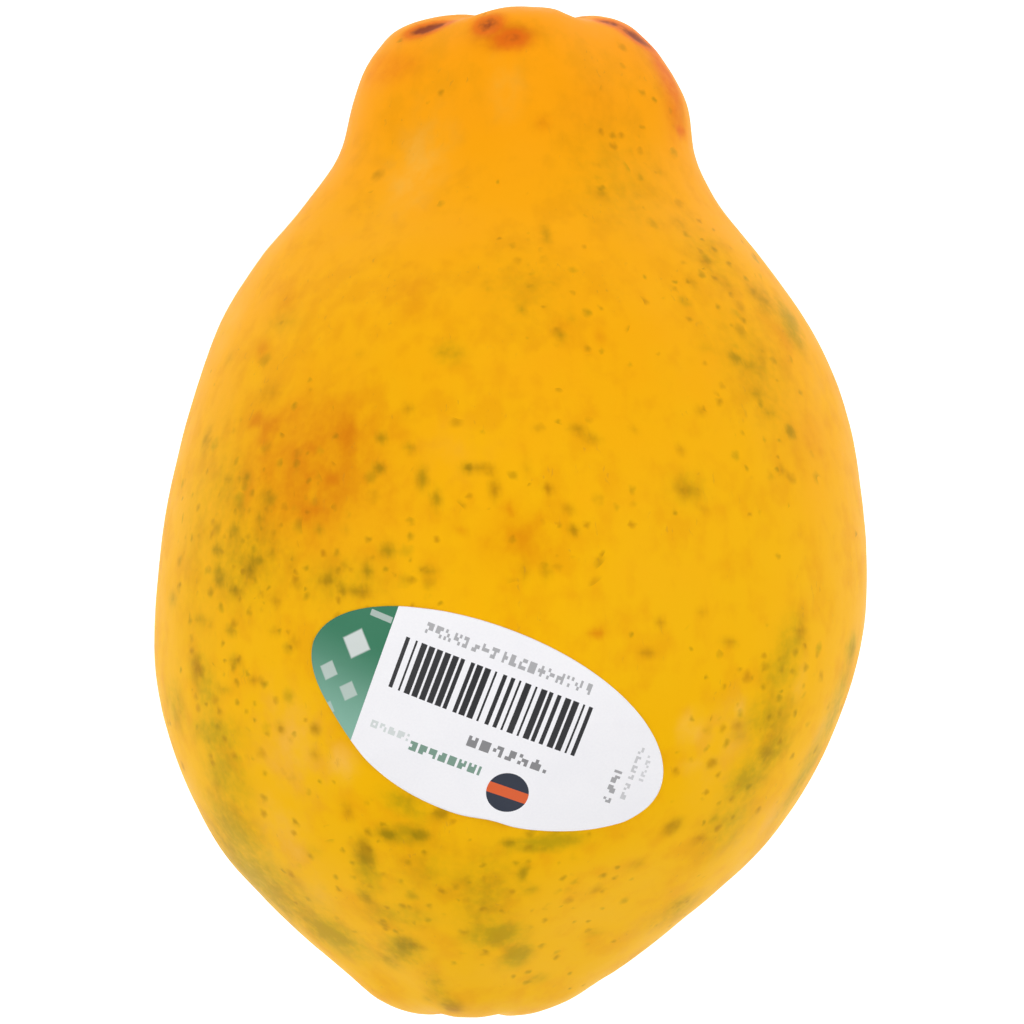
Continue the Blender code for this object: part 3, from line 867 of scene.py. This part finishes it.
class Shader:
    """A material's nodes. Each call adds one and returns its output, to feed the next."""

    def __init__(self, name):
        self.material = bpy.data.materials.new(name)
        self.material.use_nodes = True
        self.tree = self.material.node_tree
        self.surface = self.tree.nodes["Principled BSDF"]

    def feed(self, node, key, value):
        """Sets an input to a number or colour, or links it to another node's output."""
        if isinstance(value, bpy.types.NodeSocket):
            self.tree.links.new(value, node.inputs[key])
        else:
            node.inputs[key].default_value = value

    def add(self, kind, inputs, **settings):
        """A new node of that kind, with its inputs fed and its settings made."""
        node = self.tree.nodes.new("ShaderNode" + kind)
        for name, value in settings.items():
            setattr(node, name, value)
        for key, value in inputs.items():
            self.feed(node, key, value)
        return node

    def math(self, operation, *values):
        return self.add("Math", dict(enumerate(values)), operation=operation).outputs[0]

    def total(self, values, weights):
        """The sum of the values, each times its weight."""
        out = 0.0
        for value, weight in zip(values, weights):
            out = self.math("MULTIPLY_ADD", value, weight, out)
        return out

    def vector(self, operation, *values):
        return self.add("VectorMath", dict(enumerate(values)), operation=operation).outputs[0]

    def attribute(self, name, output="Fac"):
        return self.add("Attribute", {}, attribute_name=name).outputs[output]

    def millimetres(self):
        """The place on the piece, in millimetres."""
        place = self.add("TexCoord", {}).outputs["Object"]
        return self.vector("MULTIPLY", place, (1 / MM, 1 / MM, 1 / MM))

    def rise(self, value, low, high, top=1.0):
        """0 below low and top above high, smooth between them. High may be the smaller one."""
        inputs = {"Value": value, "From Min": low, "From Max": high, "To Max": top}
        return self.add("MapRange", inputs, interpolation_type="SMOOTHSTEP").outputs["Result"]

    def blend(self, share, under, over):
        """The colour under, covered by the colour over: sockets 6, 7 and 2 take colours."""
        return self.add("Mix", {0: share, 6: under, 7: over}, data_type="RGBA").outputs[2]

    def noise(self, place, size, detail=2.0, output=0):
        """Soft noise from 0 to 1, with swells of that size in the units of place."""
        inputs = {"Vector": place, "Scale": 1 / size, "Detail": detail}
        return self.add("TexNoise", inputs).outputs[output]

    def shaken(self, place, size, reach):
        """The place, moved about by noise, which makes what is drawn there ragged."""
        swell = self.noise(place, size, detail=1.0, output=1)
        centred = self.vector("SUBTRACT", swell, (0.5, 0.5, 0.5))
        return self.vector("MULTIPLY_ADD", centred, (reach, reach, reach), place)

    def dots(self, place, size, smallest, largest, density):
        """Dots strewn one to a cell of that size, as a mask, and a random tint for each cell."""
        inputs = {"Vector": place, "Scale": 1 / size, "Randomness": FRECKLE_RANDOMNESS}
        cells = self.add("TexVoronoi", inputs)
        chance = self.add("SeparateColor", {"Color": cells.outputs["Color"]}).outputs
        spread = (largest - smallest) / size
        reach = self.math("MULTIPLY_ADD", chance["Green"], spread, smallest / size)
        dot = self.rise(cells.outputs["Distance"], reach, 0.0)
        kept = self.math("LESS_THAN", chance["Red"], density)
        return self.math("MULTIPLY", dot, kept), chance["Blue"]


def skin_material():
    """Waxy skin: the ground colour first, then the marks from the widest to the smallest, and last
    the bruises, the cork and the paler patch that the fruit lay on."""
    s = Shader("papaya_skin_finish")
    place = s.millimetres()
    wide = s.noise(place, WIDE_MM)
    middle = s.noise(place, MIDDLE_MM, detail=3.0)
    drawn = s.vector("MULTIPLY", place, SKIN_STRETCH)
    patches = s.noise(drawn, PATCH_MM, detail=3.0)
    fine = s.noise(place, FINE_MM)

    def ragged(name, patchy, grainy):
        """A mark's strength, made uneven by noise: the two numbers say how much."""
        even = 1 - (patchy + grainy) / 2
        unevenness = s.total((patches, fine, 1.0), (patchy, grainy, even))
        return s.math("MULTIPLY", s.attribute(name), unevenness)

    golden = s.total((s.attribute("along"), wide, middle, 1.0), GOLDEN_MIX)
    colour = s.blend(s.rise(golden, *GOLDEN_RISE), AMBER, GOLD)
    colour = s.blend(s.math("MULTIPLY", s.attribute("crown"), CROWN_COVER), colour, CROWN_ORANGE)
    colour = s.blend(s.rise(s.total((middle, patches), DEEP_MIX), *DEEP_RISE), colour, DEEP_AMBER)
    # Among the tints, the pale one is painted sheen and the olive one holds some painted shade.
    for name, patchy, grainy, rise, tint in TINTS:
        colour = s.blend(s.rise(ragged(name, patchy, grainy), *rise), colour, tint)

    drift = s.noise(place, DRIFT_MM, detail=1.0)
    density = s.total((s.attribute("freckles"), drift, 1.0), FRECKLE_MIX)
    loose = s.shaken(place, *FRECKLE_SHAKE)
    for sizes, cover, green in (
        (SMALL_FRECKLES, SMALL_FRECKLE_COVER, FRECKLE),
        (LARGE_FRECKLES, LARGE_FRECKLE_COVER, OLIVE_AND_SHADE_TONE),
    ):
        dot, brownness = s.dots(loose, *sizes, density)
        freckle = s.blend(brownness, green, FRECKLE_BROWN)
        colour = s.blend(s.math("MULTIPLY", dot, cover), colour, freckle)
    spots = s.rise(ragged("spots", *SPOTS_RAGGEDNESS), *SPOTS_RISE)
    freckle = s.blend(s.rise(wide, *BROWN_RISE), FRECKLE, FRECKLE_BROWN)
    colour = s.blend(spots, colour, freckle)

    streaks = s.noise(s.vector("MULTIPLY", loose, SCUFF_STRETCH), SCUFF_MM, detail=1.0)
    places = s.rise(middle, *SCUFF_PLACES_RISE)
    scuff = s.math("MULTIPLY", s.rise(streaks, *SCUFF_RISE), places)
    colour = s.blend(s.math("MULTIPLY", scuff, SCUFF_COVER), colour, SCUFF)

    hurt = ragged("bruise", *BRUISE_RAGGEDNESS)
    colour = s.blend(s.rise(hurt, *HALO_RISE), colour, BRUISE_HALO)
    colour = s.blend(s.rise(hurt, *CORE_RISE), colour, BRUISE_CORE)

    cork = s.attribute("cork")
    speckle = s.rise(s.total((patches, fine), CORK_MIX), *CORK_RISE)
    colour = s.blend(cork, colour, s.blend(speckle, CORK_DARK, CORK))
    ground = s.math("MULTIPLY", s.attribute("ground"), GROUND_COVER)
    colour = s.blend(ground, colour, GROUND)
    s.feed(s.surface, "Base Color", colour)

    roughness = s.total((middle, fine, cork, 1.0), SKIN_ROUGHNESS_MIX)
    s.feed(s.surface, "Roughness", roughness)
    s.feed(s.surface, "Specular IOR Level", SKIN_SPECULAR)
    height = s.total((s.noise(place, PORE_MM), fine), SKIN_BUMP_MIX)
    bump = s.add("Bump", {"Strength": 1.0, "Distance": SKIN_BUMP, "Height": height})
    s.feed(s.surface, "Normal", bump.outputs[0])
    return s.material


def label_material():
    """Coated paper, printed on top: a green cap with pale diamonds, bars, rows of small marks and a
    round emblem."""
    s = Shader("label_print_finish")
    place = s.attribute("print", "Vector")
    axes = s.add("SeparateXYZ", {"Vector": s.shaken(place, *PRINT_SHAKE)}).outputs
    u, v = axes["X"], axes["Y"]
    fibre = s.noise(place, FIBRE_MM, detail=4.0)
    cloud = s.noise(place, CLOUD_MM, detail=3.0)

    def box(middle_u, middle_v, half_u, half_v):
        """1 inside a box and 0 outside it."""
        inside_u = s.math("COMPARE", u, middle_u, half_u)
        return s.math("MULTIPLY", inside_u, s.math("COMPARE", v, middle_v, half_v))

    def away(axis, middle):
        return s.math("ABSOLUTE", s.math("SUBTRACT", axis, middle))

    def cell(axis, middle, half, count):
        """The number of the cell that a place is in, counted along one side of a box."""
        share = s.total((axis, 1.0), (1 / (2 * half), 0.5 - middle / (2 * half)))
        return s.math("FLOOR", s.math("MULTIPLY", share, count))

    def printed(area, along, across, share):
        """Random cells of a box, with the first of each group along its longer side left bare, and
        where each cell is in its group."""
        middle_u, middle_v, half_u, half_v = area
        if half_u > half_v:
            column, row = cell(u, middle_u, half_u, along), cell(v, middle_v, half_v, across)
        else:
            column, row = cell(v, middle_v, half_v, along), cell(u, middle_u, half_u, across)
        spot = s.add("CombineXYZ", {"X": column, "Y": row, "Z": PRINT_SEED + middle_u}).outputs[0]
        chance = s.add("TexWhiteNoise", {"Vector": spot}).outputs["Value"]
        phase = s.math("FLOORED_MODULO", column, GROUP)
        inked = s.math("LESS_THAN", chance, share)
        inked = s.math("MULTIPLY", inked, s.math("GREATER_THAN", phase, 0.5))
        return s.math("MULTIPLY", inked, box(*area)), phase

    shade = s.rise(s.total((fibre, cloud), SHADE_MIX), *SHADE_RISE)
    colour = s.blend(shade, PAPER, PAPER_SHADE)

    cap = s.blend(s.rise(v, *CAP_FADE_MM), GREEN, GREEN_PALE)
    colour = s.blend(s.math("LESS_THAN", u, CAP_EDGE_MM), colour, cap)
    for at_u, at_v, half, white in CAP_DIAMONDS:
        reach = s.math("ADD", away(u, at_u), away(v, at_v))
        colour = s.blend(s.rise(reach, half, half * DIAMOND_CORE, white), colour, GREY_WHITE)
    colour = s.blend(s.math("MULTIPLY", box(*CAP_STRIPE), STRIPE_COVER), colour, GREY_WHITE)

    # One cell of each group is always inked, so no gap between bars is wider than a group.
    bars, phase = printed(BARS, BAR_MODULES, 1, BAR_SHARE)
    always = s.math("MULTIPLY", s.math("COMPARE", phase, GROUP / 2, 0.5), box(*BARS))
    colour = s.blend(s.math("MAXIMUM", bars, always), colour, INK)
    for rows, ink in ((INK_ROWS, INK), (GREEN_ROWS, GREEN)):
        for area, along, across, share, depth in rows:
            mask, _ = printed(area, along, across, share)
            colour = s.blend(s.math("MULTIPLY", mask, depth), colour, ink)

    from_emblem = s.vector("SUBTRACT", place, (*EMBLEM, 0))
    distance = s.add("VectorMath", {0: from_emblem}, operation="LENGTH").outputs["Value"]
    disc = s.math("LESS_THAN", distance, EMBLEM_RADIUS_MM)
    band = s.math("MULTIPLY", disc, s.math("COMPARE", v, EMBLEM[1], EMBLEM_BAND_HALF_MM))
    colour = s.blend(disc, colour, NAVY)
    colour = s.blend(band, colour, ORANGE)
    s.feed(s.surface, "Base Color", colour)

    s.feed(s.surface, "Roughness", s.total((fibre, cloud, 1.0), PAPER_ROUGHNESS_MIX))
    s.feed(s.surface, "Specular IOR Level", PAPER_SPECULAR)
    height = s.total((fibre, cloud), PAPER_BUMP_MIX)
    bump = s.add("Bump", {"Strength": 1.0, "Distance": PAPER_BUMP, "Height": height})
    s.feed(s.surface, "Normal", bump.outputs[0])
    return s.material


def make_camera():
    """Straight above, with a long lens, and with the stem end at the top of the picture."""
    camera = bpy.data.cameras.new("camera")
    camera.lens = LENS
    camera.sensor_width = SENSOR
    camera.clip_end = CAMERA_FAR_LIMIT
    made = bpy.data.objects.new("camera", camera)
    made.location = (*FRAME_CENTRE, AXIS_HEIGHT + CAMERA_DISTANCE)
    bpy.context.scene.collection.objects.link(made)
    bpy.context.scene.camera = made


def make_floor():
    """A wide white sheet with a faint glow, for the white ground of the picture."""
    bm = bmesh.new()
    bmesh.ops.create_grid(bm, x_segments=4, y_segments=4, size=FLOOR_HALF)
    mesh = bpy.data.meshes.new("floor")
    bm.to_mesh(mesh)
    bm.free()
    s = Shader("floor_finish")
    grain = s.noise(s.millimetres(), FLOOR_GRAIN_MM, detail=0.0)
    s.feed(s.surface, "Base Color", s.blend(grain, *FLOOR_TONES))
    s.feed(s.surface, "Roughness", FLOOR_ROUGHNESS)
    s.feed(s.surface, "Emission Color", (1, 1, 1, 1))
    s.feed(s.surface, "Emission Strength", FLOOR_GLOW)
    mesh.materials.append(s.material)
    floor = bpy.data.objects.new("floor", mesh)
    floor.location.z = -FLOOR_GAP
    bpy.context.scene.collection.objects.link(floor)


def make_lights():
    """Four softboxes that the camera doesn't see, in a dim white room."""
    for name, place, size, watts in LIGHTS:
        light = bpy.data.lights.new(name, "AREA")
        light.size = size
        light.energy = watts
        made = bpy.data.objects.new(name, light)
        made.location = place
        made.rotation_euler = (-Vector(place)).to_track_quat("-Z", "Y").to_euler()
        made.visible_camera = False
        bpy.context.scene.collection.objects.link(made)
    world = bpy.data.worlds.new("studio")
    world.use_nodes = True
    background = world.node_tree.nodes["Background"]
    background.inputs["Color"].default_value = (1, 1, 1, 1)
    background.inputs["Strength"].default_value = WORLD_STRENGTH
    bpy.context.scene.world = world


make_camera()
make_floor()
make_lights()
bpy.context.scene.view_settings.view_transform = "Standard"
bpy.context.scene.cycles.use_denoising = True

fruit = make_fruit()
label = make_label(fruit)
for piece, node, slot in ((fruit, "papaya_fruit", "skin"), (label, "produce_label", "label")):
    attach(piece, "root")
    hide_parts(node)
